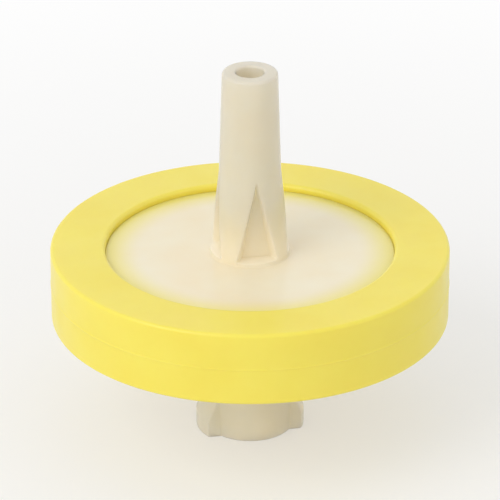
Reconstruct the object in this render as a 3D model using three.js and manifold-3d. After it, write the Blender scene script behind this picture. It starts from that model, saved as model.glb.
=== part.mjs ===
// A 25 mm syringe filter: two polypropylene housings that clamp a round membrane, with a yellow
// ring moulded over their joined rims. It stands on its inlet end, outlet tip up.
// Millimetres, +Z up along the filter's axis, origin at the centre of the inlet end face.

import * as THREE from "three";
import { mergeVertices } from "three/addons/utils/BufferGeometryUtils.js";
import Module from "manifold-3d";

const wasm = await Module();
wasm.setup();

// ---- Driving dimensions -------------------------------------------------------------------

const FACETS = 60; // facets round the axis, the same on every piece so that their faces meet
const ROUNDING_STEPS = 3; // facets in a quarter-round edge

// Membrane
const MEMBRANE_DIAMETER = 25;
const MEMBRANE_THICKNESS = 0.15;
const MEMBRANE_CLEARANCE = 0.1; // radial gap round the membrane in its seat

// The two discs and their welded rim
const WELD_WIDTH = 0.4; // rim outside the membrane where the housings meet
const INLET_FLANGE = 1.6; // rim thickness of the inlet disc
const OUTLET_FLANGE = 1.6; // rim thickness of the outlet disc
const WINDOW_RECESS = 0.5; // how far the disc's window lies below the ring's face

// Over-moulded ring
const RING_WALL = 1.25; // wall outside the discs' rims
const RING_LIP = 1.1; // thickness of the lip that laps over each disc's rim
const RING_LAP = 2.7; // how far that lip reaches in over the rim
const RING_OUTER_ROUNDING = 0.45;
const RING_INNER_ROUNDING = 0.3;

// Inlet: female luer lock
const INLET_PROJECTION = 8.9; // from the ring's face to the inlet end
const HUB_DIAMETER = 6.2; // at the inlet end
const HUB_DRAFT = 0.3; // how much wider the hub is at the disc
const HUB_EDGE = 0.25; // chamfer round the inlet end
const HUB_FILLET = 0.35; // chamfer where the hub meets the disc
const SOCKET_DIAMETER = 4.3; // mouth of the tapered socket
const SOCKET_DEPTH = 8.2;
const SOCKET_LEAD_IN = 0.15; // chamfer round the mouth
const LUER_TAPER = 0.06; // change of diameter along the length
const INLET_HOLE_DIAMETER = 2;
const LUG_SPAN = 7.8; // across the two lock lugs
const LUG_WIDTH = 3.6;
const LUG_LAND = 1.2; // length at full span
const LUG_RAMP = 2.2; // length over which the lug runs out into the hub
const LUG_EDGE = 0.2;
const LUG_ROOT = 0.5; // how deep the lug's solid reaches into the hub's wall

// Inlet chamber
const CLAMP_WIDTH = 1.3; // edge of the membrane that the two discs grip
const CHAMBER_DEPTH = 0.5;
const FLOW_RIBS = 12;
const FLOW_RIB_WIDTH = 0.5;
const FLOW_RIB_GAP = 0.15; // between a rib's top and the membrane
const FLOW_RIB_START = 3; // distance of each rib's inner end from the axis
const FLOW_RIB_MARGIN = 0.8; // between a rib's outer end and the chamber's wall
const FLOW_RIB_ROOT = 0.2; // how deep a rib's solid reaches into the chamber's floor

// Outlet: male luer slip on a ribbed base
const OUTLET_PROJECTION = 13.4; // from the ring's face to the tip
const TIP_DIAMETER = 3.95;
const TIP_EDGE = 0.2; // chamfer round the tip
const CONE_LENGTH = 7.5; // plain luer cone, from the tip
const STEM_BASE_DIAMETER = 5.7; // stem where it leaves the disc
const STEM_FOOT = 0.25; // height and spread of the collar where the stem meets the disc
const OUTLET_BORE_DIAMETER = 2;
const OUTLET_BORE_EDGE = 0.15; // chamfer round the bore's mouth
const STEM_POCKETS = 4; // V-shaped hollows that leave ribs between them
const POCKET_WIDTH = 2.9; // at the foot, narrowing to a point at the cone
const STEM_WALL = 1; // wall left between the bore and a hollow

// Membrane support inside the outlet disc
const DRAIN_RINGS = 4;
const DRAIN_RING_START = 3.1; // radius of the first ring groove's inner edge
const DRAIN_RING_MARGIN = 0.1; // between the last ring groove and the gripped edge
const DRAIN_RING_WIDTH = 1.1; // at the groove's mouth
const DRAIN_RING_FLOOR = 0.7; // width of the groove's floor
const DRAIN_RING_DEPTH = 0.35;
const DRAIN_SPOKES = 8; // straight grooves that lead to the bore
const DRAIN_SPOKE_WIDTH = 0.9;
const DRAIN_SPOKE_DEPTH = 0.45;
const DRAIN_SPOKE_MARGIN = 0.3; // between a spoke's end and the gripped edge

// ---- Sizes worked out from them ------------------------------------------------------------

const seatRadius = MEMBRANE_DIAMETER / 2 + MEMBRANE_CLEARANCE;
const rimRadius = seatRadius + WELD_WIDTH;
const ringRadius = rimRadius + RING_WALL;
const windowRadius = rimRadius - RING_LAP;
const openRadius = MEMBRANE_DIAMETER / 2 - CLAMP_WIDTH; // part of the membrane that filters

const ringBottom = INLET_PROJECTION;
const inletRimFace = ringBottom + RING_LIP;
const joint = inletRimFace + INLET_FLANGE; // plane where the two housings meet
const outletRimFace = joint + OUTLET_FLANGE;
const ringTop = outletRimFace + RING_LIP;
const inletWindow = ringBottom + WINDOW_RECESS;
const outletWindow = ringTop - WINDOW_RECESS;
const tipEnd = ringTop + OUTLET_PROJECTION;
const coneEnd = tipEnd - CONE_LENGTH;
const seatFace = joint + MEMBRANE_THICKNESS; // the membrane lies between joint and seatFace
const chamberFloor = joint - CHAMBER_DEPTH;

const OVERSHOOT = 1; // how far a cutting solid reaches past what it cuts

// ---- Shapes ----------------------------------------------------------------------------------

// Turns an outline of [radius, height] points about the Z axis. The points run anticlockwise, and
// start and end on the axis.
function turned(outline) {
  const points = outline.map(([radius, height]) => new THREE.Vector2(radius, height));
  const geometry = new THREE.LatheGeometry(points, FACETS);
  geometry.rotateX(Math.PI / 2);
  return geometry;
}

// The same for an outline that stays clear of the axis and closes on itself.
function turnedHollow(outline) {
  return turned([...outline, outline[0]]);
}

// Points of a quarter round from one angle to another, in degrees, about a centre.
function rounding(radius, height, size, fromAngle, toAngle) {
  const points = [];
  for (let step = 0; step <= ROUNDING_STEPS; step += 1) {
    const share = step / ROUNDING_STEPS;
    const angle = THREE.MathUtils.degToRad(fromAngle + (toAngle - fromAngle) * share);
    points.push([radius + size * Math.cos(angle), height + size * Math.sin(angle)]);
  }
  return points;
}

// A box that runs outwards from the axis, turned about Z by an angle in radians.
function radialBox(start, end, width, bottom, top, angle) {
  const geometry = new THREE.BoxGeometry(end - start, width, top - bottom);
  geometry.translate((start + end) / 2, 0, (bottom + top) / 2);
  geometry.rotateZ(angle);
  return geometry;
}

// ---- Joining and cutting ---------------------------------------------------------------------

function toSolid(geometry) {
  const bare = geometry.clone();
  bare.deleteAttribute("normal");
  bare.deleteAttribute("uv");
  const merged = mergeVertices(bare);
  const vertProperties = new Float32Array(merged.attributes.position.array);
  const triVerts = new Uint32Array(merged.index.array);
  return new wasm.Manifold(new wasm.Mesh({ numProp: 3, vertProperties, triVerts }));
}

function toGeometry(solid) {
  const mesh = solid.getMesh();
  const geometry = new THREE.BufferGeometry();
  geometry.setAttribute("position", new THREE.BufferAttribute(mesh.vertProperties, 3));
  geometry.setIndex(new THREE.BufferAttribute(mesh.triVerts, 1));
  geometry.computeVertexNormals();
  return geometry;
}

// ---- Inlet housing ---------------------------------------------------------------------------

// Hub, disc and chamber in one outline: out along the inlet end, up the outside to the rim, in
// over the chamber, and down through the hole and the socket.
function inletBody() {
  const hubRadius = HUB_DIAMETER / 2;
  const hubBaseRadius = hubRadius + HUB_DRAFT / 2;
  const socketRadius = SOCKET_DIAMETER / 2;
  const socketEndRadius = socketRadius - (LUER_TAPER * SOCKET_DEPTH) / 2;
  const holeRadius = INLET_HOLE_DIAMETER / 2;
  return turnedHollow([
    [socketRadius + SOCKET_LEAD_IN, 0],
    [hubRadius - HUB_EDGE, 0],
    [hubRadius, HUB_EDGE],
    [hubBaseRadius, inletWindow - HUB_FILLET],
    [hubBaseRadius + HUB_FILLET, inletWindow],
    [windowRadius, inletWindow],
    [windowRadius, inletRimFace],
    [rimRadius, inletRimFace],
    [rimRadius, joint],
    [openRadius, joint],
    [openRadius, chamberFloor],
    [holeRadius, chamberFloor],
    [holeRadius, SOCKET_DEPTH],
    [socketEndRadius, SOCKET_DEPTH],
    [socketRadius, SOCKET_LEAD_IN],
  ]);
}

// Two opposite lock lugs: a collar with a ramp, of which only a bar across the hub is kept.
function lugs() {
  const hubRadius = HUB_DIAMETER / 2;
  const lugRadius = LUG_SPAN / 2;
  const rootRadius = hubRadius - LUG_ROOT;
  const rampEnd = LUG_LAND + LUG_RAMP;
  const collar = turnedHollow([
    [rootRadius, 0],
    [lugRadius - LUG_EDGE, 0],
    [lugRadius, LUG_EDGE],
    [lugRadius, LUG_LAND],
    [hubRadius, rampEnd],
    [rootRadius, rampEnd],
  ]);
  const bar = new THREE.BoxGeometry(LUG_SPAN + OVERSHOOT, LUG_WIDTH, 2 * rampEnd + OVERSHOOT);
  return toSolid(collar).intersect(toSolid(bar));
}

function inletHousing() {
  let solid = toSolid(inletBody()).add(lugs());
  const ribTop = joint - FLOW_RIB_GAP;
  const ribBottom = chamberFloor - FLOW_RIB_ROOT;
  const ribEnd = openRadius - FLOW_RIB_MARGIN;
  for (let rib = 0; rib < FLOW_RIBS; rib += 1) {
    const angle = (2 * Math.PI * rib) / FLOW_RIBS;
    const box = radialBox(FLOW_RIB_START, ribEnd, FLOW_RIB_WIDTH, ribBottom, ribTop, angle);
    solid = solid.add(toSolid(box));
  }
  return toGeometry(solid);
}

// ---- Membrane --------------------------------------------------------------------------------

function membraneDisc() {
  const radius = MEMBRANE_DIAMETER / 2;
  return turned([
    [0, joint],
    [radius, joint],
    [radius, seatFace],
    [0, seatFace],
  ]);
}

// ---- Outlet housing --------------------------------------------------------------------------

// Outline points of one ring groove, walked outwards along the membrane's seat.
function drainRing(innerRadius) {
  const slope = (DRAIN_RING_WIDTH - DRAIN_RING_FLOOR) / 2;
  const outerRadius = innerRadius + DRAIN_RING_WIDTH;
  const floor = seatFace + DRAIN_RING_DEPTH;
  return [
    [innerRadius, seatFace],
    [innerRadius + slope, floor],
    [outerRadius - slope, floor],
    [outerRadius, seatFace],
  ];
}

// Seat, disc, stem and bore in one outline: out along the membrane's seat, up round the rim, up
// the stem to the tip, and down through the bore.
function outletBody() {
  const boreRadius = OUTLET_BORE_DIAMETER / 2;
  const tipRadius = TIP_DIAMETER / 2;
  const coneEndRadius = tipRadius + (LUER_TAPER * CONE_LENGTH) / 2;
  const stemRadius = STEM_BASE_DIAMETER / 2;
  const lastRing = openRadius - DRAIN_RING_MARGIN - DRAIN_RING_WIDTH;
  const pitch = (lastRing - DRAIN_RING_START) / (DRAIN_RINGS - 1);
  const seat = [];
  for (let ring = 0; ring < DRAIN_RINGS; ring += 1) {
    seat.push(...drainRing(DRAIN_RING_START + ring * pitch));
  }
  return turnedHollow([
    [boreRadius, seatFace],
    ...seat,
    [seatRadius, seatFace],
    [seatRadius, joint],
    [rimRadius, joint],
    [rimRadius, outletRimFace],
    [windowRadius, outletRimFace],
    [windowRadius, outletWindow],
    [stemRadius + STEM_FOOT, outletWindow],
    [stemRadius, outletWindow + STEM_FOOT],
    [coneEndRadius, coneEnd],
    [tipRadius, tipEnd - TIP_EDGE],
    [tipRadius - TIP_EDGE, tipEnd],
    [boreRadius + OUTLET_BORE_EDGE, tipEnd],
    [boreRadius, tipEnd - OUTLET_BORE_EDGE],
  ]);
}

// A V-shaped hollow in the stem, seen square on: wide above the foot, with its point at the cone.
function stemPocket(angle) {
  const foot = outletWindow + STEM_FOOT;
  const floor = OUTLET_BORE_DIAMETER / 2 + STEM_WALL;
  const outline = new THREE.Shape();
  outline.moveTo(-POCKET_WIDTH / 2, foot);
  outline.lineTo(POCKET_WIDTH / 2, foot);
  outline.lineTo(0, coneEnd);
  outline.closePath();
  const reach = STEM_BASE_DIAMETER / 2 + OVERSHOOT - floor;
  const geometry = new THREE.ExtrudeGeometry(outline, { depth: reach, bevelEnabled: false });
  geometry.translate(0, 0, floor);
  geometry.rotateX(Math.PI / 2);
  geometry.rotateZ(angle);
  return toSolid(geometry);
}

function outletHousing() {
  let solid = toSolid(outletBody());
  const spokeEnd = openRadius - DRAIN_SPOKE_MARGIN;
  for (let spoke = 0; spoke < DRAIN_SPOKES; spoke += 1) {
    const angle = (2 * Math.PI * (spoke + 0.5)) / DRAIN_SPOKES;
    const floor = seatFace + DRAIN_SPOKE_DEPTH;
    const bottom = joint - OVERSHOOT;
    const box = radialBox(0, spokeEnd, DRAIN_SPOKE_WIDTH, bottom, floor, angle);
    solid = solid.subtract(toSolid(box));
  }
  for (let pocket = 0; pocket < STEM_POCKETS; pocket += 1) {
    solid = solid.subtract(stemPocket((2 * Math.PI * pocket) / STEM_POCKETS));
  }
  return toGeometry(solid);
}

// ---- Outer ring ------------------------------------------------------------------------------

// A C section, open towards the axis, that grips both discs' rims.
function outerRing() {
  const outer = RING_OUTER_ROUNDING;
  const inner = RING_INNER_ROUNDING;
  return turnedHollow([
    ...rounding(ringRadius - outer, ringBottom + outer, outer, -90, 0),
    ...rounding(ringRadius - outer, ringTop - outer, outer, 0, 90),
    ...rounding(windowRadius + inner, ringTop - inner, inner, 90, 180),
    [windowRadius, outletRimFace],
    [rimRadius, outletRimFace],
    [rimRadius, inletRimFace],
    [windowRadius, inletRimFace],
    ...rounding(windowRadius + inner, ringBottom + inner, inner, 180, 270),
  ]);
}

// ---- Assembly --------------------------------------------------------------------------------

const MILKY = 0xf4ead2;
const WHITE = 0xfaf8f2;
const LEMON = 0xf2e368;
const GLOSSY = 0.35; // roughness of each finish
const SATIN = 0.4;
const MATT = 0.8;

function plastic(color, roughness) {
  return new THREE.MeshStandardMaterial({ color, roughness, metalness: 0 });
}

function piece(name, geometry, material) {
  const mesh = new THREE.Mesh(geometry, material);
  mesh.name = name;
  return mesh;
}

const syringeFilter = new THREE.Group();
syringeFilter.add(piece("inlet_housing", inletHousing(), plastic(MILKY, GLOSSY)));
syringeFilter.add(piece("membrane", membraneDisc(), plastic(WHITE, MATT)));
syringeFilter.add(piece("outlet_housing", outletHousing(), plastic(MILKY, GLOSSY)));
syringeFilter.add(piece("outer_ring", outerRing(), plastic(LEMON, SATIN)));

export default syringeFilter;
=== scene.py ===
"""Dresses a 25 mm syringe filter: two milky moulded housings, a white membrane between them, and
a lemon-yellow ring moulded over their rims, with a plain printed scale on its inlet face.

The filter stands on its inlet end with the outlet tip up. Everything is in metres, in the frame
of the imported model, whose Z axis is the filter's own axis.
"""

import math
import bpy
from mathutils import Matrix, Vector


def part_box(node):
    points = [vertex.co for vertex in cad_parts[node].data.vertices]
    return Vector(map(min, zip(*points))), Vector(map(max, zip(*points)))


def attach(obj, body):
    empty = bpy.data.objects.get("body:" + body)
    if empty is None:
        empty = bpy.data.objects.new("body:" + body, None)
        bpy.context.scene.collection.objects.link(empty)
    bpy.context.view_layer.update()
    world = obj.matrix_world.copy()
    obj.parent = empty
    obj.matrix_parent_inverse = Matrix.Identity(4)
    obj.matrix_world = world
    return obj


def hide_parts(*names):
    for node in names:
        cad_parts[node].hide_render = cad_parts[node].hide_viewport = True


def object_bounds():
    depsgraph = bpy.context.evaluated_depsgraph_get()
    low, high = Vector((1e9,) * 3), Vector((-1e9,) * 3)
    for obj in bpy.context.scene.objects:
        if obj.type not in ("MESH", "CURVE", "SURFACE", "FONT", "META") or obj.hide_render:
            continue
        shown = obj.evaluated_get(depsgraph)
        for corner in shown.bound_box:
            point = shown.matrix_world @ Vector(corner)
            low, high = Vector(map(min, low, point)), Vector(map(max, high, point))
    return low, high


bl_info = {
    "name": "Syringe Filter",
    "version": (1, 0, 0),
    "blender": (4, 5, 0),
    "location": "3D View > Sidebar > Filter",
    "description": "Builds the moulded pieces of a 25 mm syringe filter and a plain studio",
    "category": "Object",
}

import bmesh
import bpy
import numpy as np
from bpy.props import FloatProperty, FloatVectorProperty, IntProperty, PointerProperty
from bpy.types import Operator, Panel, PropertyGroup
from mathutils import Vector

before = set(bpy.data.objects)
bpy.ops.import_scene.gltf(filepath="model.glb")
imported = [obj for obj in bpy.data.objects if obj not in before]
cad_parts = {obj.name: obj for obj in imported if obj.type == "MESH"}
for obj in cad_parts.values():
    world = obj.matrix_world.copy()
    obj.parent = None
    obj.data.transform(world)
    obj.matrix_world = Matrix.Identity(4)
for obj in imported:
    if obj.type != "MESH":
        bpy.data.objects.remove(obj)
cad_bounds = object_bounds()

MM = 0.001
BODY = "root"  # the one body that every piece rides on

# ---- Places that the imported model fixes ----

ring_low, ring_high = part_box("outer_ring")
inlet_low, inlet_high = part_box("inlet_housing")
outlet_low, outlet_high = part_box("outlet_housing")
membrane_low, membrane_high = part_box("membrane")

RING_RADIUS = ring_high.x
RING_BOTTOM = ring_low.z
RING_TOP = ring_high.z
INLET_END = inlet_low.z  # 0, because the origin is in the middle of this face
TIP_END = outlet_high.z
RIM_RADIUS = inlet_high.x
JOINT = inlet_high.z  # plane where the two housings meet
MEMBRANE_RADIUS = membrane_high.x
SEAT = membrane_high.z  # face of the outlet housing that backs the membrane


# ---- Sizes and colours that a user would change ----


def linear(red, green, blue):
    """A colour given as 8-bit sRGB, as linear light, by the standard curve."""
    parts = np.array([red, green, blue]) / 255.0
    low = parts / 12.92
    high = ((parts + 0.055) / 1.055) ** 2.4
    return tuple(float(part) for part in np.where(parts <= 0.04045, low, high))


def length(name, description, default):
    """A size in metres, given in millimetres."""
    return FloatProperty(
        name=name, description=description, default=default * MM, min=0.0, unit="LENGTH", precision=5
    )


def angle(name, description, default):
    """An angle in radians, given in degrees."""
    return FloatProperty(
        name=name, description=description, default=math.radians(default), subtype="ANGLE"
    )


def colour(name, description, default):
    """A colour, given as 8-bit sRGB."""
    return FloatVectorProperty(
        name=name, description=description, default=linear(*default), subtype="COLOR", min=0.0, max=1.0
    )


def share(name, description, default):
    """A part of a whole, from 0 to 1."""
    return FloatProperty(
        name=name, description=description, default=default, min=0.0, max=1.0, subtype="FACTOR"
    )


class RingSettings(PropertyGroup):
    """The over-moulded ring."""

    lip: length("Lip", "Thickness of the lip over each disc's rim", 1.1)
    lap: length("Lap", "How far the lip reaches in over the rim", 2.7)
    outer_rounding: length("Outer rounding", "Rounding of the two outer edges", 0.45)
    inner_rounding: length("Inner rounding", "Rounding of the two edges round the windows", 0.3)
    seam_height: length("Seam height", "How far the mould's seam stands proud of the wall", 0.03)
    seam_width: length("Seam width", "Width of the mould's seam", 0.16)
    gate_diameter: length("Gate diameter", "Round hollow where the sprue was cut off", 1.5)
    gate_depth: length("Gate depth", "Depth of that hollow", 0.12)


class MarkSettings(PropertyGroup):
    """The plain scale printed on the ring's inlet face."""

    radius: length("Radius", "Distance of the ticks' inner ends from the axis", 11.35)
    long_tick: length("Long tick", "Length of every fifth tick", 1.9)
    short_tick: length("Short tick", "Length of the other ticks", 1.15)
    tick_width: length("Tick width", "Width of a tick", 0.24)
    ink_height: length("Ink height", "How far the ink stands proud", 0.012)
    ticks: IntProperty(name="Ticks", description="Ticks in each scale", default=21, min=1)
    scales: IntProperty(name="Scales", description="Scales round the ring", default=2, min=1)


class InletSettings(PropertyGroup):
    """The inlet housing with its female luer lock."""

    window_recess: length("Window recess", "How far the disc lies below the ring's face", 0.5)
    hub_diameter: length("Hub diameter", "At the inlet end", 6.2)
    hub_draft: length("Hub draft", "How much wider the hub is at the disc", 0.3)
    hub_fillet: length("Hub fillet", "Where the hub meets the disc", 0.35)
    end_rounding: length("End rounding", "Edges of the hub's and the lugs' end face", 0.2)
    socket_diameter: length("Socket diameter", "Mouth of the tapered socket", 4.3)
    socket_depth: length("Socket depth", "Depth of the tapered socket", 8.2)
    hole_diameter: length("Hole diameter", "Hole from the socket to the membrane", 2.0)
    lug_span: length("Lug span", "Across the two lock lugs", 7.8)
    lug_width: length("Lug width", "Width of each lug", 3.6)
    lug_land: length("Lug land", "Length of a lug at full span", 1.2)
    lug_ramp: length("Lug ramp", "Length over which a lug runs out into the hub", 2.2)
    chamber_depth: length("Chamber depth", "Hollow over the membrane", 0.5)
    rib_width: length("Rib width", "Width of each flow rib", 0.5)
    rib_gap: length("Rib gap", "Between the flow ribs and the membrane", 0.15)
    ribs: IntProperty(name="Ribs", description="Flow ribs in the chamber", default=12, min=1)


class OutletSettings(PropertyGroup):
    """The outlet housing with its male luer slip."""

    window_recess: length("Window recess", "How far the disc lies below the ring's face", 0.5)
    tip_diameter: length("Tip diameter", "Across the luer cone's end", 3.95)
    tip_rounding: length("Tip rounding", "Outer edge of the tip", 0.22)
    cone_length: length("Cone length", "Plain cone, from the tip", 7.5)
    stem_diameter: length("Stem diameter", "Where the stem leaves the disc", 5.7)
    stem_fillet: length("Stem fillet", "Where the stem meets the disc", 0.25)
    bore_diameter: length("Bore diameter", "Bore through the stem", 2.0)
    hollow_width: length("Hollow width", "Each hollow in the stem at its foot", 2.9)
    stem_wall: length("Stem wall", "Left between the bore and a hollow", 1.0)
    hollow_edge: length("Hollow edge", "Softness of the hollows' edges", 0.09)
    hollows: IntProperty(name="Hollows", description="Hollows round the stem", default=4, min=1)
    groove_depth: length("Groove depth", "Ring grooves in the membrane's seat", 0.35)
    spoke_depth: length("Spoke depth", "Straight grooves that lead to the bore", 0.45)
    spokes: IntProperty(name="Spokes", description="Straight grooves", default=8, min=1)


class FinishSettings(PropertyGroup):
    """Colours and surfaces."""

    housing: colour("Housing", "Natural milky polypropylene", (255, 242, 217))
    housing_deep: colour("Housing, deep", "The same where the melt is cloudier", (253, 233, 199))
    ring: colour("Ring", "Lemon yellow", (248, 231, 92))
    ring_deep: colour("Ring, deep", "The same where the pigment is denser", (241, 219, 70))
    membrane: colour("Membrane", "White film", (250, 249, 244))
    ink: colour("Ink", "Warm dark grey", (74, 66, 52))
    disc_clearness: share("Disc clearness", "Light that passes straight through the discs", 0.03)
    stem_clearness: share("Stem clearness", "The same for the hub and the stem", 0.32)
    # painted glow: the ring's yellow painted into the discs' colour beside it, in place of light that the
    # ring passes into the milky plastic
    painted_glow: share("Glow", "How much of the ring's yellow shows in the discs beside it", 0.85)
    painted_glow_width: length("Glow width", "How far that yellow reaches in from the ring", 2.6)


class StudioSettings(PropertyGroup):
    """Camera, light and floor."""

    azimuth: angle("Azimuth", "Camera's turn round the filter", -12)
    elevation: angle("Elevation", "Camera above the horizon", 26)
    focal_length: FloatProperty(name="Focal length", description="In millimetres", default=300.0, min=1.0)
    fill: share("Fill", "Part of the frame's width that the ring fills", 0.8)
    key_power: FloatProperty(name="Key power", description="Soft lamp", default=0.58, unit="POWER")
    sky_light: FloatProperty(name="Sky light", description="Even light from all round", default=0.79)
    floor: colour("Floor", "Pale floor", (246, 245, 243))


class FilterSettings(PropertyGroup):
    """Everything about the filter that a user would change."""

    ring: PointerProperty(type=RingSettings)
    marks: PointerProperty(type=MarkSettings)
    inlet: PointerProperty(type=InletSettings)
    outlet: PointerProperty(type=OutletSettings)
    finish: PointerProperty(type=FinishSettings)
    studio: PointerProperty(type=StudioSettings)


# ---- Sizes that stay as they are ----

CLEARANCE = 0.02 * MM  # air between faces that touch, so that they never coincide
CLAMP_WIDTH = 1.3 * MM  # edge of the membrane that the discs grip
WELD_WIDTH = 0.4 * MM  # rim outside the membrane's seat
LUER_TAPER = 0.06  # change of diameter along the length
MOUTH_ROUNDING = 0.15 * MM  # edges of the socket's and the bore's open ends
STEP_ROUNDING = 0.04 * MM  # edge between a disc's window and its rim

OPEN_RADIUS = MEMBRANE_RADIUS - CLAMP_WIDTH
SEAT_RADIUS = RIM_RADIUS - WELD_WIDTH

COLUMNS = 384  # round the axis
FINE_STEP = math.radians(0.05)  # step at which crowded columns are worked out
ARC_STEPS = 6  # rows in a rounded corner
ARC_SHARE = 0.42  # largest part of a side that a rounding takes
ARC_LEAD = 0.15  # from an arc's end to the row beside it, as a part of the arc's own setback
TINY = 1e-12  # stands in for the length of a side that has none
MERGE_DISTANCE = 1e-8  # closes seams and poles
SHARP_ANGLE = math.radians(38)  # edges that turn more than this stay sharp


# ---- Shapes ----


def rise(start, end, value):
    """0 before start and 1 after end, level at both: 3 t squared less 2 t cubed."""
    part = np.clip((value - start) / (end - start), 0.0, 1.0)
    return part * part * (3.0 - 2.0 * part)


def larger(first, second, blend):
    """The larger of two surfaces, rounded where they cross: half their sum plus half the
    hypotenuse of their difference and the blend."""
    return (first + second + np.hypot(first - second, blend)) / 2.0


def smaller(first, second, blend):
    """The smaller of two surfaces, rounded in the same way."""
    return -larger(-first, -second, blend)


def angles_round(count, centres=(), width=1.0, crowding=0.0):
    """Angles all the way round, closer together near the centres: equal parts of the running
    total of a density that is 1 plus a bell at each centre."""
    fine = np.linspace(0.0, 2.0 * math.pi, round(2.0 * math.pi / FINE_STEP) + 1)
    density = np.ones_like(fine)
    for centre in centres:
        away = np.abs((fine - centre + math.pi) % (2.0 * math.pi) - math.pi)
        density += crowding * np.exp(-((away / width) ** 2))
    total = np.concatenate([[0.0], np.cumsum((density[1:] + density[:-1]) / 2.0)])
    return np.interp(np.arange(count) / count * total[-1], total, fine)


def nearest_copy(angles, copies, first=0.0):
    """Angle from the nearest of several equally spaced directions."""
    pitch = 2.0 * math.pi / copies
    return (angles - first + pitch / 2.0) % pitch - pitch / 2.0


def units(vectors):
    """The same directions at length 1, and the lengths that they had."""
    lengths = np.linalg.norm(vectors, axis=-1, keepdims=True)
    return vectors / np.maximum(lengths, TINY), lengths


def arc(start, corner, stop, weight):
    """Rows of a circular arc between two sides that meet in a corner: a rational quadratic curve
    whose middle weight is the cosine of half the turn."""
    for part in np.linspace(0.0, 1.0, ARC_STEPS + 1):
        first, middle, last = (1.0 - part) ** 2, 2.0 * part * (1.0 - part) * weight, part**2
        yield (first * start + middle * corner + last * stop) / (first + middle + last)


def rounded_rows(corners, count, closed=True):
    """Rows of an outline whose corners may change with the angle.

    A corner is (radius, height, rounding), each a number or one number for each angle. A corner
    with no rounding is one row. A rounded one is an arc that touches both its sides, at the
    rounding times the tangent of half the turn from the corner. A row lies just before and just
    after each arc, so that the flat sides keep their own shading."""
    place = np.array([[np.broadcast_to(part, count) for part in corner[:2]] for corner in corners])
    place = np.moveaxis(place, 1, 2)
    back, back_length = units(np.roll(place, 1, axis=0) - place)
    ahead, ahead_length = units(np.roll(place, -1, axis=0) - place)
    turn_cosine = np.clip(-np.sum(back * ahead, axis=-1, keepdims=True), -1.0, 1.0)
    half_turn = np.arccos(turn_cosine) / 2.0
    rows = []
    for index, (_, _, size) in enumerate(corners):
        end = not closed and index in (0, len(corners) - 1)
        if end or not size:
            rows.append(place[index])
            continue
        room = ARC_SHARE * np.minimum(back_length[index], ahead_length[index])
        setback = np.minimum(size * np.tan(half_turn[index]), room)
        start = place[index] + back[index] * setback
        stop = place[index] + ahead[index] * setback
        rows.append(start + back[index] * setback * ARC_LEAD)
        rows += arc(start, place[index], stop, np.cos(half_turn[index]))
        rows.append(stop + ahead[index] * setback * ARC_LEAD)
    return np.array(rows)


def carried_round(rows, angles):
    """Points of rows of (radius, height), each row carried round the axis through the angles."""
    radius, height = rows[..., 0], rows[..., 1]
    return np.stack([radius * np.cos(angles), radius * np.sin(angles), height], axis=-1)


def sheet_faces(rows, columns, closed):
    """Four-sided faces between neighbouring rows, round all columns and back to the first."""
    row = np.arange(rows if closed else rows - 1)[:, None]
    column = np.arange(columns)[None, :]
    next_row = (row + 1) % rows
    next_column = (column + 1) % columns
    corners = [
        row * columns + column,
        row * columns + next_column,
        next_row * columns + next_column,
        next_row * columns + column,
    ]
    return np.stack(np.broadcast_arrays(*corners), axis=-1).reshape(-1, 4).tolist()


def closed_piece(name, points, faces, material):
    """A mesh object with its seams merged and its faces outwards."""
    mesh = bpy.data.meshes.new(name)
    mesh.from_pydata(points.reshape(-1, 3).tolist(), [], faces)
    shape = bmesh.new()
    shape.from_mesh(mesh)
    bmesh.ops.remove_doubles(shape, verts=shape.verts, dist=MERGE_DISTANCE)
    bmesh.ops.recalc_face_normals(shape, faces=shape.faces)
    shape.to_mesh(mesh)
    shape.free()
    mesh.materials.append(material)
    piece = bpy.data.objects.new(name, mesh)
    bpy.context.scene.collection.objects.link(piece)
    return piece


def moulded_round(name, corners, angles, material, closed=True):
    """A piece whose outline is carried once round the axis, smooth up to its sharp edges."""
    rows = rounded_rows(corners, len(angles), closed)
    faces = sheet_faces(len(rows), len(angles), closed)
    piece = closed_piece(name, carried_round(rows, angles), faces, material)
    piece.data.shade_smooth()
    piece.data.set_sharp_from_angle(angle=SHARP_ANGLE)
    return piece


# ---- Ring ----

GATE_DIRECTION = math.radians(100)  # round the axis, from +X
GATE_CROWDING = 5.0  # extra columns at the gate, for each one elsewhere
GATE_SPREAD = math.radians(5)  # how far round the axis that crowding reaches
GATE_ROWS = 33  # rows of the wall over the gate
GATE_REACH = 1.2  # how far they go from the gate's middle, in radii of the gate
WALL_ROWS = 4  # rows from there to each edge
WALL_MARGIN = 1.3  # how far they stop short of the edge, in its own roundings
DISH_FLOOR = 0.75  # radius of the flat floor of the gate's dish, in radii of the gate
NUB_TOP, NUB_FOOT = 0.2, 0.4  # the same for the top and the foot of the nub on that floor
NUB_HEIGHT = 0.7  # in depths of the dish


def wall_heights(middle, reach, gate_reach):
    """Heights of the wall's rows, closer together over the gate, with the seam in the middle."""
    near = np.linspace(-gate_reach, gate_reach, GATE_ROWS)
    far = np.linspace(gate_reach, reach, WALL_ROWS + 1)[1:]
    return middle + np.concatenate([-far[::-1], near, far])


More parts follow.
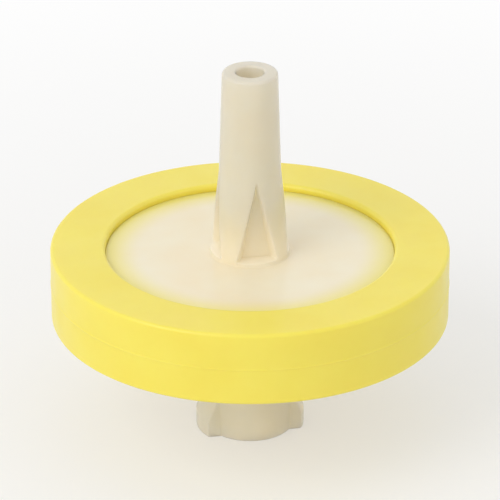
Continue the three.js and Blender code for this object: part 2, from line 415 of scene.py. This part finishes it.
def ring_corners(size, angles):
    """A C section, open towards the axis. The wall stands a little inside the full radius, which
    only the mould's seam reaches. At the gate the wall is hollowed by a round dish with a nub."""
    middle = (RING_BOTTOM + RING_TOP) / 2.0
    reach = (RING_TOP - RING_BOTTOM) / 2.0 - size.outer_rounding * WALL_MARGIN
    rim_bottom = RING_BOTTOM + size.lip
    rim_top = RING_TOP - size.lip
    window = RIM_RADIUS - size.lap
    wall = RING_RADIUS - size.seam_height
    gate = size.gate_diameter / 2.0
    along = wall * nearest_copy(angles, 1, GATE_DIRECTION)
    corners = [(wall, RING_BOTTOM, size.outer_rounding)]
    for height in wall_heights(middle, reach, gate * GATE_REACH):
        away = np.hypot(along, height - middle)
        dish = size.gate_depth * (1.0 - rise(gate * DISH_FLOOR, gate, away))
        nub = size.gate_depth * NUB_HEIGHT * (1.0 - rise(gate * NUB_TOP, gate * NUB_FOOT, away))
        seam = size.seam_height * (1.0 - rise(0.0, size.seam_width / 2.0, abs(height - middle)))
        corners.append((wall + np.where(away < gate, 0.0, seam) - dish + nub, height, 0.0))
    corners += [
        (wall, RING_TOP, size.outer_rounding),
        (window, RING_TOP, size.inner_rounding),
        (window, rim_top, 0.0),
        (RIM_RADIUS, rim_top, 0.0),
        (RIM_RADIUS, rim_bottom, 0.0),
        (window, rim_bottom, 0.0),
        (window, RING_BOTTOM, size.inner_rounding),
    ]
    return corners


class FILTER_OT_ring(Operator):
    """Build the yellow ring that grips both housings' rims"""

    bl_idname = "syringe_filter.ring"
    bl_label = "Outer ring"

    def execute(self, context):
        settings = context.scene.syringe_filter
        angles = angles_round(COLUMNS, (GATE_DIRECTION,), GATE_SPREAD, GATE_CROWDING)
        corners = ring_corners(settings.ring, angles)
        piece = moulded_round("ring_overmould", corners, angles, ring_material(settings.finish))
        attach(piece, BODY)
        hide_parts("outer_ring")
        return {"FINISHED"}


# ---- Printed scale ----

TICK_PITCH = math.radians(4)  # from one tick to the next
TICK_POINTS = 16  # round a tick's outline
LONG_EVERY = 5  # every fifth tick is a long one, counted from the middle of its scale


def tick_slabs(size):
    """Points and faces of all ticks. A tick's outline is a superellipse, the fourth powers of its
    two parts adding up to 1, stretched along the radius, and a slab joins two copies of it."""
    turn = np.linspace(0.0, 2.0 * math.pi, TICK_POINTS, endpoint=False)
    across = np.sign(np.cos(turn)) * np.sqrt(np.abs(np.cos(turn)))
    along = np.sign(np.sin(turn)) * np.sqrt(np.abs(np.sin(turn)))
    number = np.arange(size.ticks) - size.ticks // 2
    scale_turn = 2.0 * math.pi * np.arange(size.scales) / size.scales
    heading = (scale_turn[:, None] + TICK_PITCH * number[None, :]).ravel()
    tall = np.where(number % LONG_EVERY == 0, size.long_tick, size.short_tick)
    tall = np.tile(tall, size.scales)[:, None]
    radius = size.radius + tall * (1.0 + along[None, :]) / 2.0
    sideways = np.broadcast_to(size.tick_width / 2.0 * across[None, :], radius.shape)
    cosine, sine = np.cos(heading)[:, None], np.sin(heading)[:, None]
    x = radius * cosine - sideways * sine
    y = radius * sine + sideways * cosine
    levels = RING_BOTTOM + np.array([CLEARANCE, -size.ink_height])
    layers = [np.stack([x, y, np.full_like(x, level)], axis=-1) for level in levels]
    corner = np.arange(TICK_POINTS)
    following = (corner + 1) % TICK_POINTS
    side = np.stack([corner, following, following + TICK_POINTS, corner + TICK_POINTS], axis=-1)
    first = 2 * TICK_POINTS * np.arange(len(heading))[:, None]
    sides = (first[:, :, None] + side[None]).reshape(-1, 4).tolist()
    upper = (first + corner[None]).tolist()
    lower = (first + corner[None] + TICK_POINTS).tolist()
    return np.stack(layers, axis=1), sides + upper + lower


class FILTER_OT_marks(Operator):
    """Print a plain scale on the ring's inlet face"""

    bl_idname = "syringe_filter.marks"
    bl_label = "Printed scale"

    def execute(self, context):
        settings = context.scene.syringe_filter
        points, faces = tick_slabs(settings.marks)
        piece = closed_piece("ring_scale", points, faces, ink_material(settings.finish))
        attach(piece, BODY)
        return {"FINISHED"}


# ---- Inlet housing ----

LUG_EDGE = 0.12 * MM  # softness of a lug's edges
LUG_ROOT = 0.1 * MM  # softness where a lug meets the hub
LUG_OVERRUN = 1.5  # a ramp runs on under the hub's wall, to this many times its length
LUG_CROWDING = 2.0  # extra columns at each flank of a lug, for each one elsewhere
LUG_SPREAD = math.radians(7)  # how far round the axis that crowding reaches
LUG_ROWS = 40  # rows of the hub's wall over the lugs
HUB_ROWS = 7  # rows of the wall past them
END_MARGIN = 1.6  # from the hub's end to the first of them, in end roundings
RAMP_MARGIN = 1.15  # from the lugs' full span to the last row over them, in lengths of the ramp
FILLET_MARGIN = 1.4  # from the last row to the disc, in fillets
LEAST_SINE = 1e-3  # keeps a lug's flank at a distance that can be worked out
RIB_START = 3.0 * MM  # distance of the flow ribs' inner ends from the axis
RIB_END = OPEN_RADIUS - 0.8 * MM  # distance of their outer ends
RIB_FLANK = 0.05 * MM  # half the width over which a rib's flank rises
RIB_END_BAND = 0.06 * MM  # rows lie this far to both sides of a rib's end
RIB_END_ROWS = 4  # rows in that band
RIB_ROWS = 16  # rows along a rib
CHAMBER_ROUNDING = 0.08 * MM  # edges of the chamber's floor
HOLE_ROUNDING = 0.06 * MM  # where the hole opens into the socket
SOCKET_ROUNDING = 0.1 * MM  # corner round the socket's end


def lug_radius(size, height, angles):
    """Outside of the hub at one height: the hub's own draft, and out to the lug's profile where
    the lug's two flat flanks leave room for it."""
    hub = (size.hub_diameter + size.hub_draft * height / RING_BOTTOM) / 2.0
    run_out = (height - size.lug_land) / size.lug_ramp
    step = (size.lug_span - size.hub_diameter) / 2.0
    lug = size.lug_span / 2.0 - step * np.clip(run_out, 0.0, LUG_OVERRUN)
    flank = size.lug_width / 2.0 / np.maximum(np.abs(np.sin(angles)), LEAST_SINE)
    return larger(hub, smaller(lug, flank, LUG_EDGE), LUG_ROOT)


def rib_height(size, radius, angles):
    """Height of the flow ribs over the chamber's floor at one radius: the full height times a
    step at each flank and a step at each end."""
    half = size.rib_width / 2.0
    aside = np.abs(radius * np.sin(nearest_copy(angles, size.ribs)))
    across = 1.0 - rise(half - RIB_FLANK, half + RIB_FLANK, aside)
    along = rise(RIB_START - RIB_FLANK, RIB_START + RIB_FLANK, radius)
    along *= 1.0 - rise(RIB_END - RIB_FLANK, RIB_END + RIB_FLANK, radius)
    return (size.chamber_depth - size.rib_gap) * across * along


def hub_heights(size, window_face):
    """Heights of the hub's rows, from clear of the end's rounding to clear of the fillet."""
    start = INLET_END + size.end_rounding * END_MARGIN
    lugs_end = INLET_END + size.lug_land + size.lug_ramp * RAMP_MARGIN
    end = window_face - size.hub_fillet * FILLET_MARGIN
    lugs = np.linspace(start, lugs_end, LUG_ROWS)
    return np.concatenate([lugs, np.linspace(lugs_end, end, HUB_ROWS + 1)[1:]])


def rib_radii():
    """Radii of the chamber floor's rows, inwards, closer together at the ribs' ends."""
    outer = np.linspace(RIB_END + RIB_END_BAND, RIB_END - RIB_END_BAND, RIB_END_ROWS)
    along = np.linspace(RIB_END, RIB_START, RIB_ROWS + 2)[1:-1]
    inner = np.linspace(RIB_START + RIB_END_BAND, RIB_START - RIB_END_BAND, RIB_END_ROWS)
    return np.concatenate([outer, along, inner])


def inlet_corners(size, ring, angles):
    """Out along the end face, up the hub and its lugs, over the disc to the rim, in over the
    chamber and its ribs, and down through the hole and the socket."""
    window_face = RING_BOTTOM + size.window_recess
    rim_face = RING_BOTTOM + ring.lip + CLEARANCE
    window_radius = RIM_RADIUS - ring.lap - CLEARANCE
    rim_radius = RIM_RADIUS - CLEARANCE
    joint = JOINT - CLEARANCE / 2.0
    floor = JOINT - size.chamber_depth
    hub_base = (size.hub_diameter + size.hub_draft) / 2.0
    socket_radius = size.socket_diameter / 2.0
    socket_end = socket_radius - LUER_TAPER * size.socket_depth / 2.0
    hole_radius = size.hole_diameter / 2.0
    corners = [
        (socket_radius, INLET_END, MOUTH_ROUNDING),
        (lug_radius(size, 0.0, angles), INLET_END, size.end_rounding),
    ]
    for height in hub_heights(size, window_face):
        corners.append((lug_radius(size, height, angles), height, 0.0))
    corners += [
        (hub_base, window_face, size.hub_fillet),
        (window_radius, window_face, STEP_ROUNDING),
        (window_radius, rim_face, 0.0),
        (rim_radius, rim_face, 0.0),
        (rim_radius, joint, 0.0),
        (OPEN_RADIUS, joint, 0.0),
        (OPEN_RADIUS, floor, CHAMBER_ROUNDING),
    ]
    for radius in rib_radii():
        corners.append((radius, floor + rib_height(size, radius, angles), 0.0))
    corners += [
        (hole_radius, floor, CHAMBER_ROUNDING),
        (hole_radius, size.socket_depth, HOLE_ROUNDING),
        (socket_end, size.socket_depth, SOCKET_ROUNDING),
    ]
    return corners


class FILTER_OT_inlet(Operator):
    """Build the inlet housing: disc, luer-lock hub with two lugs, socket and chamber"""

    bl_idname = "syringe_filter.inlet"
    bl_label = "Inlet housing"

    def execute(self, context):
        settings = context.scene.syringe_filter
        size = settings.inlet
        flank_radius = (size.lug_span + size.hub_diameter) / 4.0  # halfway up a lug
        flank = math.asin(size.lug_width / 2.0 / flank_radius)
        flanks = (flank, math.pi - flank, math.pi + flank, 2.0 * math.pi - flank)
        angles = angles_round(COLUMNS, flanks, LUG_SPREAD, LUG_CROWDING)
        corners = inlet_corners(size, settings.ring, angles)
        piece = moulded_round("inlet_moulding", corners, angles, housing_material(settings))
        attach(piece, BODY)
        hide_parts("inlet_housing")
        return {"FINISHED"}


# ---- Outlet housing ----

HOLLOW_FOOT = 0.25 * MM  # height over which the hollows set in above the fillet
STEM_START = 0.03 * MM  # from the fillet to the stem's first row
FOOT_BAND = 0.4 * MM  # height of the stem's closer rows
FOOT_ROWS = 9  # rows in that band
STEM_ROWS = 63  # rows from there to the luer cone
GROOVES = 4  # ring grooves in the seat
GROOVE_START = 3.1 * MM  # radius of the first one's inner edge
GROOVE_WIDTH = 1.1 * MM  # at its mouth
GROOVE_FLOOR = 0.7 * MM  # width of its floor
GROOVE_MARGIN = 0.1 * MM  # between the last one and the gripped edge
SPOKE_MARGIN = 0.3 * MM  # between a straight groove's end and the gripped edge
SPOKE_END_BAND = 0.04 * MM  # a row lies this far to each side of that end
SPOKE_FLOOR = 0.4 * MM  # half the width of its floor
SPOKE_MOUTH = 0.5 * MM  # half the width of its mouth
BORE_LAND = 0.4 * MM  # from the bore to the first row of the seat
INNER_LAND = 2.2 * MM  # radius of the seat's next row


def stem_radius(size, height, foot, cone_end, angles):
    """Outside of the stem at one height. A cone from the foot to the plain luer cone, cut by flat
    hollows. Square on, a hollow is a triangle that narrows to a point at the luer cone."""
    part = np.clip((height - foot) / (cone_end - foot), 0.0, 1.0)
    cone_radius = size.tip_diameter / 2.0 + LUER_TAPER * size.cone_length / 2.0
    outside = size.stem_diameter / 2.0 * (1.0 - part) + cone_radius * part
    turn = nearest_copy(angles, size.hollows)
    floor = np.minimum((size.bore_diameter / 2.0 + size.stem_wall) / np.cos(turn), outside)
    half_width = size.hollow_width / 2.0 * (1.0 - part) - size.hollow_edge * part
    aside = outside * np.abs(np.sin(turn))
    inside = 1.0 - rise(half_width - size.hollow_edge, half_width + size.hollow_edge, aside)
    inside = inside * rise(foot, foot + HOLLOW_FOOT, height)
    return outside + inside * (floor - outside)


def seat_rows(bore_radius, spoke_end):
    """Radii of the seat's rows, outwards, and how deep a ring groove is at each, from 0 to 1: each
    groove's flanks and floor, the lands between the grooves, and the straight grooves' ends."""
    pitch = (OPEN_RADIUS - GROOVE_MARGIN - GROOVE_WIDTH - GROOVE_START) / (GROOVES - 1)
    slope = (GROOVE_WIDTH - GROOVE_FLOOR) / 2.0
    inner = GROOVE_START + pitch * np.arange(GROOVES)
    steps = np.array([0.0, slope, GROOVE_WIDTH / 2.0, GROOVE_WIDTH - slope, GROOVE_WIDTH])
    grooves = (inner[:, None] + steps[None, :]).ravel()
    between = inner[1:] - (pitch - GROOVE_WIDTH) / 2.0
    lands = [bore_radius + BORE_LAND, INNER_LAND, *between]
    ends = [spoke_end - SPOKE_END_BAND, spoke_end + SPOKE_END_BAND]
    radii = np.concatenate([grooves, lands, ends])
    in_groove = np.tile([0.0, 1.0, 1.0, 1.0, 0.0], GROOVES)
    deep = np.concatenate([in_groove, np.zeros(len(lands)), np.ones(len(ends))])
    order = np.argsort(radii)
    return zip(radii[order], deep[order])


def seat_corners(size, angles):
    """The face that backs the membrane, from the bore outwards: ring grooves with sloping flanks,
    crossed by straight grooves that lead to the bore."""
    bore_radius = size.bore_diameter / 2.0
    spoke_end = OPEN_RADIUS - SPOKE_MARGIN
    turn = nearest_copy(angles, size.spokes, math.pi / size.spokes)
    corners = [(bore_radius, SEAT + size.spoke_depth, 0.0)]
    for radius, groove in seat_rows(bore_radius, spoke_end):
        aside = np.abs(radius * np.sin(turn))
        spoke = (1.0 - rise(SPOKE_FLOOR, SPOKE_MOUTH, aside)) * (radius < spoke_end)
        lift = np.maximum(size.groove_depth * groove, size.spoke_depth * spoke)
        corners.append((radius, SEAT + lift, 0.0))
    return corners


def outlet_corners(size, ring, angles):
    """Out along the membrane's seat, up round the rim, over the disc, up the stem to the tip, and
    down through the bore."""
    window_face = RING_TOP - size.window_recess
    rim_face = RING_TOP - ring.lip - CLEARANCE
    window_radius = RIM_RADIUS - ring.lap - CLEARANCE
    rim_radius = RIM_RADIUS - CLEARANCE
    joint = JOINT + CLEARANCE / 2.0
    foot = window_face + size.stem_fillet
    cone_end = TIP_END - size.cone_length
    corners = seat_corners(size, angles)
    corners += [
        (SEAT_RADIUS, SEAT, 0.0),
        (SEAT_RADIUS, joint, 0.0),
        (rim_radius, joint, 0.0),
        (rim_radius, rim_face, 0.0),
        (window_radius, rim_face, 0.0),
        (window_radius, window_face, STEP_ROUNDING),
        (size.stem_diameter / 2.0, window_face, size.stem_fillet),
    ]
    start = foot + STEM_START
    low = np.linspace(start, start + FOOT_BAND, FOOT_ROWS)
    high = np.linspace(start + FOOT_BAND, cone_end, STEM_ROWS + 1)[1:]
    for height in np.concatenate([low, high]):
        corners.append((stem_radius(size, height, foot, cone_end, angles), height, 0.0))
    corners += [
        (size.tip_diameter / 2.0, TIP_END, size.tip_rounding),
        (size.bore_diameter / 2.0, TIP_END, MOUTH_ROUNDING),
    ]
    return corners


class FILTER_OT_outlet(Operator):
    """Build the outlet housing: disc, ribbed stem, luer cone, bore and membrane seat"""

    bl_idname = "syringe_filter.outlet"
    bl_label = "Outlet housing"

    def execute(self, context):
        settings = context.scene.syringe_filter
        angles = angles_round(COLUMNS)
        corners = outlet_corners(settings.outlet, settings.ring, angles)
        piece = moulded_round("outlet_moulding", corners, angles, housing_material(settings))
        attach(piece, BODY)
        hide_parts("outlet_housing")
        return {"FINISHED"}


# ---- Membrane ----

PRESS = 0.02 * MM  # how much thinner the gripped edge is
PRESS_WIDTH = 0.2 * MM  # over which the film thins
FILM_ROUNDING = 0.02 * MM


def membrane_corners():
    """A thin disc whose gripped edge is pressed a little thinner."""
    low = JOINT + CLEARANCE / 2.0
    high = SEAT - CLEARANCE / 2.0
    return [
        (0.0, low, 0.0),
        (OPEN_RADIUS - PRESS_WIDTH, low, 0.0),
        (OPEN_RADIUS, low + PRESS, 0.0),
        (MEMBRANE_RADIUS, low + PRESS, FILM_ROUNDING),
        (MEMBRANE_RADIUS, high, FILM_ROUNDING),
        (0.0, high, 0.0),
    ]


class FILTER_OT_membrane(Operator):
    """Build the membrane between the housings"""

    bl_idname = "syringe_filter.membrane"
    bl_label = "Membrane"

    def execute(self, context):
        settings = context.scene.syringe_filter
        angles = angles_round(COLUMNS // 2)
        material = membrane_material(settings.finish)
        piece = moulded_round("membrane_disc", membrane_corners(), angles, material, closed=False)
        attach(piece, BODY)
        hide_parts("membrane")
        return {"FINISHED"}


# ---- Shader maths ----

MIX_FIRST, MIX_SECOND, MIX_RESULT = 6, 7, 2  # a Mix node's sockets for colours


class Value:
    """A socket on its way through the nodes: each operator adds the Math node it stands for."""

    def __init__(self, tree, socket):
        self.tree = tree
        self.socket = socket

    def math(self, operation, *values):
        """A Math node that takes numbers and other values."""
        settings = {"operation": operation}
        return self.tree.add("ShaderNodeMath", settings, dict(enumerate(values)))

    def __add__(self, other):
        return self.math("ADD", self, other)

    def __radd__(self, other):
        return self.math("ADD", other, self)

    def __sub__(self, other):
        return self.math("SUBTRACT", self, other)

    def __rsub__(self, other):
        return self.math("SUBTRACT", other, self)

    def __mul__(self, other):
        return self.math("MULTIPLY", self, other)

    def __rmul__(self, other):
        return self.math("MULTIPLY", other, self)

    def size(self):
        """The value without its sign."""
        return self.math("ABSOLUTE", self)

    def less(self, limit):
        """1 below the limit, and 0 above it."""
        return self.math("LESS_THAN", self, limit)

    def greater_of(self, other):
        """The greater of two values."""
        return self.math("MAXIMUM", self, other)


class Tree:
    """The emptied node tree of a material or a world, filled one node at a call."""

    def __init__(self, owner):
        owner.use_nodes = True
        self.owner = owner
        self.nodes = owner.node_tree.nodes
        self.links = owner.node_tree.links
        self.nodes.clear()

    def add(self, kind, settings=None, inputs=None, output=0):
        """Adds a node and returns one of its outputs. Its settings come first, then a value or a
        link on each socket, which has a name or a number."""
        node = self.nodes.new(kind)
        for name, value in (settings or {}).items():
            setattr(node, name, value)
        for name, value in (inputs or {}).items():
            if isinstance(value, Value):
                self.links.new(value.socket, node.inputs[name])
            elif isinstance(value, (tuple, list)) and node.inputs[name].type == "RGBA":
                node.inputs[name].default_value = (*value[:3], 1.0)
            else:
                node.inputs[name].default_value = value
        return Value(self, node.outputs[output]) if node.outputs else node

    def place(self):
        """Object coordinates, in metres from the middle of the filter's inlet end."""
        return self.add("ShaderNodeTexCoord", output="Object")

    def noise(self, place, size, detail=2.0, roughness=0.5):
        """Noise whose blobs are about one size across, in metres."""
        inputs = {"Vector": place, "Scale": 1.0 / size, "Detail": detail, "Roughness": roughness}
        return self.add("ShaderNodeTexNoise", {"noise_dimensions": "3D"}, inputs)

    def stretch(self, value, low, high):
        """Spreads what lies between low and high over 0 to 1."""
        inputs = {"Value": value, "From Min": low, "From Max": high}
        return self.add("ShaderNodeMapRange", {"clamp": True}, inputs)

    def ease(self, value, low, high):
        """0 below low and 1 above high, level at both."""
        inputs = {"Value": value, "From Min": low, "From Max": high}
        return self.add("ShaderNodeMapRange", {"interpolation_type": "SMOOTHSTEP"}, inputs)

    def blend(self, amount, first, second):
        """A colour between two others."""
        settings = {"data_type": "RGBA", "blend_type": "MIX"}
        inputs = {0: amount, MIX_FIRST: first, MIX_SECOND: second}
        return self.add("ShaderNodeMix", settings, inputs, MIX_RESULT)

    def radius(self, place):
        """Distance from the filter's axis."""
        settings = {"operation": "MULTIPLY"}
        flat = self.add("ShaderNodeVectorMath", settings, {0: place, 1: (1.0, 1.0, 0.0)})
        return self.add("ShaderNodeVectorMath", {"operation": "LENGTH"}, {0: flat}, output="Value")

    def along(self, place, axis):
        """How far a place lies along an axis."""
        settings = {"operation": "DOT_PRODUCT"}
        return self.add("ShaderNodeVectorMath", settings, {0: place, 1: axis}, output="Value")

    def bump(self, height, depth):
        """Turns a height of 0 to 1 into relief of that depth, in metres."""
        inputs = {"Height": height, "Distance": depth, "Strength": 1.0}
        return self.add("ShaderNodeBump", None, inputs)

    def surface(self, **inputs):
        """A Principled shader, each input named with _ for its spaces."""
        named = {name.replace("_", " ").title(): value for name, value in inputs.items()}
        named = {name.replace("Ior", "IOR"): value for name, value in named.items()}
        return self.add("ShaderNodeBsdfPrincipled", None, named)

    def finish(self, surface):
        """Ends the material in its surface."""
        self.add("ShaderNodeOutputMaterial", None, {"Surface": surface})
        return self.owner


def new_material(name):
    """The empty tree of a new material."""
    return Tree(bpy.data.materials.new(name))


# ---- Finishes ----

WHITE = (1.0, 1.0, 1.0)
PAINTED_GLOW_OVERLAP = 0.2 * MM  # from the window's edge to where the painted yellow glow is strongest, under the lip
CLEARING = 5.0 * MM  # height over which the hub and the stem turn clearer, from the discs out
PAINTED_STEM_LIFT = 0.25  # how far the clearer plastic's colour goes towards white, a painted lightening that makes up for the hub and the stem rendering darker


def housing_material(settings):
    """Natural polypropylene: milky and softly glossy, cloudier in slow swirls, with an even orange peel.
    The hub and the stem grow clearer away from the discs, and the ring's yellow is painted into the discs
    towards its edge, a painted glow in place of the light that the ring passes into them."""
    finish = settings.finish
    tree = new_material("milky_polypropylene")
    place = tree.place()
    away = tree.radius(place)
    swirls = tree.noise(place, size=7.0 * MM, detail=3.0, roughness=0.55)
    cloud = tree.stretch(swirls, 0.3, 0.7)
    plain = tree.blend(cloud, tuple(finish.housing), tuple(finish.housing_deep))
    window = RIM_RADIUS - settings.ring.lap
    # painted glow: the discs' colour turns towards the ring's yellow near it, painted in place of the
    # light that the ring passes into them
    painted_glow = tree.ease(away, window - finish.painted_glow_width, window + PAINTED_GLOW_OVERLAP)
    shade = tree.blend(painted_glow * finish.painted_glow, plain, tuple(finish.ring))
    peel = tree.noise(place, size=0.55 * MM)
    wear = tree.noise(place, size=1.6 * MM, detail=3.0)
    common = {
        "roughness": 0.35 + 0.08 * wear,
        "normal": tree.bump(peel, depth=0.004 * MM),
        "IOR": 1.49,
        "subsurface_weight": 0.6,
        "subsurface_radius": (1.0, 1.0, 1.0),
        "subsurface_scale": 1.2 * MM,
        "coat_weight": 0.5,
        "coat_roughness": 0.14,
    }
    milk = tree.surface(base_color=shade, transmission_weight=finish.disc_clearness, **common)
    # painted lightening: the clearer plastic's colour is paler than the plastic itself, standing in for
    # light on the hub and the stem
    pale = tree.blend(PAINTED_STEM_LIFT, shade, WHITE)
    clear = tree.surface(base_color=pale, transmission_weight=finish.stem_clearness, **common)
    face = (RING_TOP - RING_BOTTOM) / 2.0 - settings.inlet.window_recess
    from_joint = (tree.along(place, (0.0, 0.0, 1.0)) - JOINT).size()
    stem = tree.ease(from_joint, face, face + CLEARING)
    return tree.finish(tree.add("ShaderNodeMixShader", None, {0: stem, 1: milk, 2: clear}))


def ring_material(finish):
    """Pigmented polypropylene: lemon yellow with faint denser streaks, a fine satin grain."""
    tree = new_material("lemon_polypropylene")
    place = tree.place()
    streak = tree.stretch(tree.noise(place, size=5.0 * MM, detail=4.0, roughness=0.6), 0.3, 0.75)
    shade = tree.blend(streak * 0.55, tuple(finish.ring), tuple(finish.ring_deep))
    grain = tree.noise(place, size=0.09 * MM, roughness=0.6)
    swell = tree.noise(place, size=1.1 * MM, detail=1.0)
    wear = tree.stretch(tree.noise(place, size=2.2 * MM, detail=3.0), 0.3, 0.7)
    plastic = tree.surface(
        base_color=shade,
        roughness=0.36 + 0.12 * wear,
        normal=tree.bump(grain * 0.5 + swell, depth=0.006 * MM),
        IOR=1.49,
        subsurface_weight=0.35,
        subsurface_radius=(1.0, 0.85, 0.25),
        subsurface_scale=0.7 * MM,
        coat_weight=0.3,
        coat_roughness=0.18,
    )
    return tree.finish(plastic)


def membrane_material(finish):
    """Microporous film: dead matt white with a felt-like grain."""
    tree = new_material("microporous_film")
    place = tree.place()
    pores = tree.noise(place, size=0.03 * MM, detail=3.0, roughness=0.7)
    cast = tree.noise(place, size=2.5 * MM)
    dull = tree.stretch(pores * 0.5 + cast * 0.5, 0.35, 0.7)
    shade = tree.blend(dull * 0.2, tuple(finish.membrane), (0.8, 0.79, 0.74))
    film = tree.surface(
        base_color=shade,
        roughness=0.85 + 0.1 * pores,
        normal=tree.bump(pores, depth=0.01 * MM),
        IOR=1.45,
    )
    return tree.finish(film)


def ink_material(finish):
    """Pad-printed ink: warm dark grey, thinner in specks where the ring's grain shows."""
    tree = new_material("pad_ink")
    place = tree.place()
    grain = tree.noise(place, size=0.12 * MM, detail=3.0, roughness=0.7)
    specks = tree.stretch(grain, 0.55, 0.75)
    shade = tree.blend(specks * 0.5, tuple(finish.ink), tuple(finish.ring_deep))
    ink = tree.surface(
        base_color=shade,
        roughness=0.42 + 0.2 * specks,
        normal=tree.bump(specks, depth=0.004 * MM),
        IOR=1.5,
    )
    return tree.finish(ink)


# ---- Studio ----

FLOOR_HALF = 2.0  # half the floor's side
FADE_START, FADE_END = 0.03, 0.09  # from the axis, where the floor fades to white
NEAR_WHITE = 0.4  # part of the floor that is plain white even beside the filter
KEY_TURN = math.radians(-48)  # from the camera, round the filter
KEY_ELEVATION = math.radians(38)  # above the horizon
KEY_SIZE = 0.28  # side of the soft lamp
KEY_DISTANCE = 0.45  # from the filter's middle
CLIP_START, CLIP_END = 0.1, 20.0  # what the camera sees, in multiples of its own distance


def direction(azimuth, elevation):
    """Unit vector from the filter towards a place; azimuth 0 is in front, on the -Y side."""
    level = math.cos(elevation)
    return Vector((math.sin(azimuth) * level, -math.cos(azimuth) * level, math.sin(elevation)))


def seen_directly(tree):
    """1 for rays from the camera, from gloss or through clear material, and 0 for others."""
    outputs = tree.add("ShaderNodeLightPath").socket.node.outputs
    names = ("Is Camera Ray", "Is Glossy Ray", "Is Transmission Ray")
    camera, glossy, through = (Value(tree, outputs[name]) for name in names)
    return camera.greater_of(glossy).greater_of(through)


def floor_material(colour_of_floor, inlet):
    """A pale floor that takes the filter's shadow and fades to white away from it. It is clear from
    below, and from above under the filter's foot, so that light reaches the foot's end face."""
    tree = new_material("studio_floor")
    place = tree.place()
    away = tree.radius(place)
    fade = tree.stretch(away, FADE_START, FADE_END) * (1.0 - NEAR_WHITE) + NEAR_WHITE
    pale = tree.add("ShaderNodeBsdfDiffuse", None, {"Color": tuple(colour_of_floor)})
    white = tree.add("ShaderNodeEmission", None, {"Color": WHITE, "Strength": 1.0})
    top = tree.add("ShaderNodeMixShader", None, {0: fade * seen_directly(tree), 1: pale, 2: white})
    clear = tree.add("ShaderNodeBsdfTransparent", None, {"Color": WHITE})
    below = tree.add("ShaderNodeNewGeometry", output="Backfacing")
    margin = inlet.end_rounding
    hub = away.less(inlet.hub_diameter / 2.0 - margin)
    span = tree.along(place, (1.0, 0.0, 0.0)).size().less(inlet.lug_span / 2.0 - 2.0 * margin)
    width = tree.along(place, (0.0, 1.0, 0.0)).size().less(inlet.lug_width / 2.0 - 2.0 * margin)
    foot = hub.greater_of(span * width)
    floor = tree.add("ShaderNodeMixShader", None, {0: below.greater_of(foot), 1: top, 2: clear})
    return tree.finish(floor)


def add_floor(scene, height, material):
    """A wide square under the filter."""
    signs = ((-1, -1), (1, -1), (1, 1), (-1, 1))
    corners = [(x * FLOOR_HALF, y * FLOOR_HALF, height) for x, y in signs]
    mesh = bpy.data.meshes.new("floor")
    mesh.from_pydata(corners, [], [(0, 1, 2, 3)])
    mesh.materials.append(material)
    floor = bpy.data.objects.new("floor", mesh)
    scene.collection.objects.link(floor)
    return floor


def light_world(scene, sky_light):
    """Even light from all round, which shows as plain white."""
    world = bpy.data.worlds.new("studio_white")
    scene.world = world
    tree = Tree(world)
    strength = sky_light + (1.0 - sky_light) * seen_directly(tree)
    shade = tree.add("ShaderNodeBackground", None, {"Color": WHITE, "Strength": strength})
    tree.add("ShaderNodeOutputWorld", None, {"Surface": shade})


def aimed(scene, name, data, target, towards, distance):
    """A lamp or a camera that faces a target from a distance."""
    holder = bpy.data.objects.new(name, data)
    scene.collection.objects.link(holder)
    holder.location = target + towards * distance
    holder.rotation_euler = towards.to_track_quat("Z", "Y").to_euler()
    return holder


class FILTER_OT_studio(Operator):
    """Build the floor, the sky, the lamp and the camera"""

    bl_idname = "syringe_filter.studio"
    bl_label = "Studio"

    def execute(self, context):
        scene = context.scene
        settings = scene.syringe_filter
        studio = settings.studio
        low, high = cad_bounds
        middle = (low + high) / 2.0

        floor = add_floor(scene, low.z, floor_material(studio.floor, settings.inlet))
        light_world(scene, studio.sky_light)

        lamp = bpy.data.lights.new("key", "AREA")
        lamp.energy = studio.key_power
        lamp.size = KEY_SIZE
        key = direction(studio.azimuth + KEY_TURN, KEY_ELEVATION)
        aimed(scene, "key", lamp, middle, key, KEY_DISTANCE)

        camera = bpy.data.cameras.new("camera")
        camera.lens = studio.focal_length
        distance = (high.x - low.x) / studio.fill * camera.lens / camera.sensor_width
        camera.clip_start = distance * CLIP_START
        camera.clip_end = distance * CLIP_END
        view = direction(studio.azimuth, studio.elevation)
        scene.camera = aimed(scene, "camera", camera, middle, view, distance)
        scene.view_settings.view_transform = "Standard"
        return {"FINISHED"}


# ---- Panel and registration ----


class FILTER_PT_panel(Panel):
    """Lists the filter's pieces and their sizes"""

    bl_label = "Syringe Filter"
    bl_idname = "FILTER_PT_panel"
    bl_space_type = "VIEW_3D"
    bl_region_type = "UI"
    bl_category = "Filter"

    def draw(self, context):
        settings = context.scene.syringe_filter
        for operator in OPERATORS:
            self.layout.operator(operator.bl_idname)
        for group_name in FilterSettings.__annotations__:
            group = getattr(settings, group_name)
            box = self.layout.box()
            for name in group.__annotations__:
                box.prop(group, name)


GROUPS = (
    RingSettings,
    MarkSettings,
    InletSettings,
    OutletSettings,
    FinishSettings,
    StudioSettings,
    FilterSettings,
)
OPERATORS = (
    FILTER_OT_ring,
    FILTER_OT_marks,
    FILTER_OT_inlet,
    FILTER_OT_outlet,
    FILTER_OT_membrane,
    FILTER_OT_studio,
)


def register():
    """Adds the classes, and the settings to the scene."""
    for kind in (*GROUPS, *OPERATORS, FILTER_PT_panel):
        bpy.utils.register_class(kind)
    bpy.types.Scene.syringe_filter = PointerProperty(type=FilterSettings)


def unregister():
    """Takes away what register added."""
    del bpy.types.Scene.syringe_filter
    for kind in (FILTER_PT_panel, *reversed(OPERATORS), *reversed(GROUPS)):
        bpy.utils.unregister_class(kind)


def main():
    """Builds every piece and the studio."""
    register()
    bpy.ops.syringe_filter.ring()
    bpy.ops.syringe_filter.marks()
    bpy.ops.syringe_filter.inlet()
    bpy.ops.syringe_filter.outlet()
    bpy.ops.syringe_filter.membrane()
    bpy.ops.syringe_filter.studio()


if __name__ == "__main__":
    main()
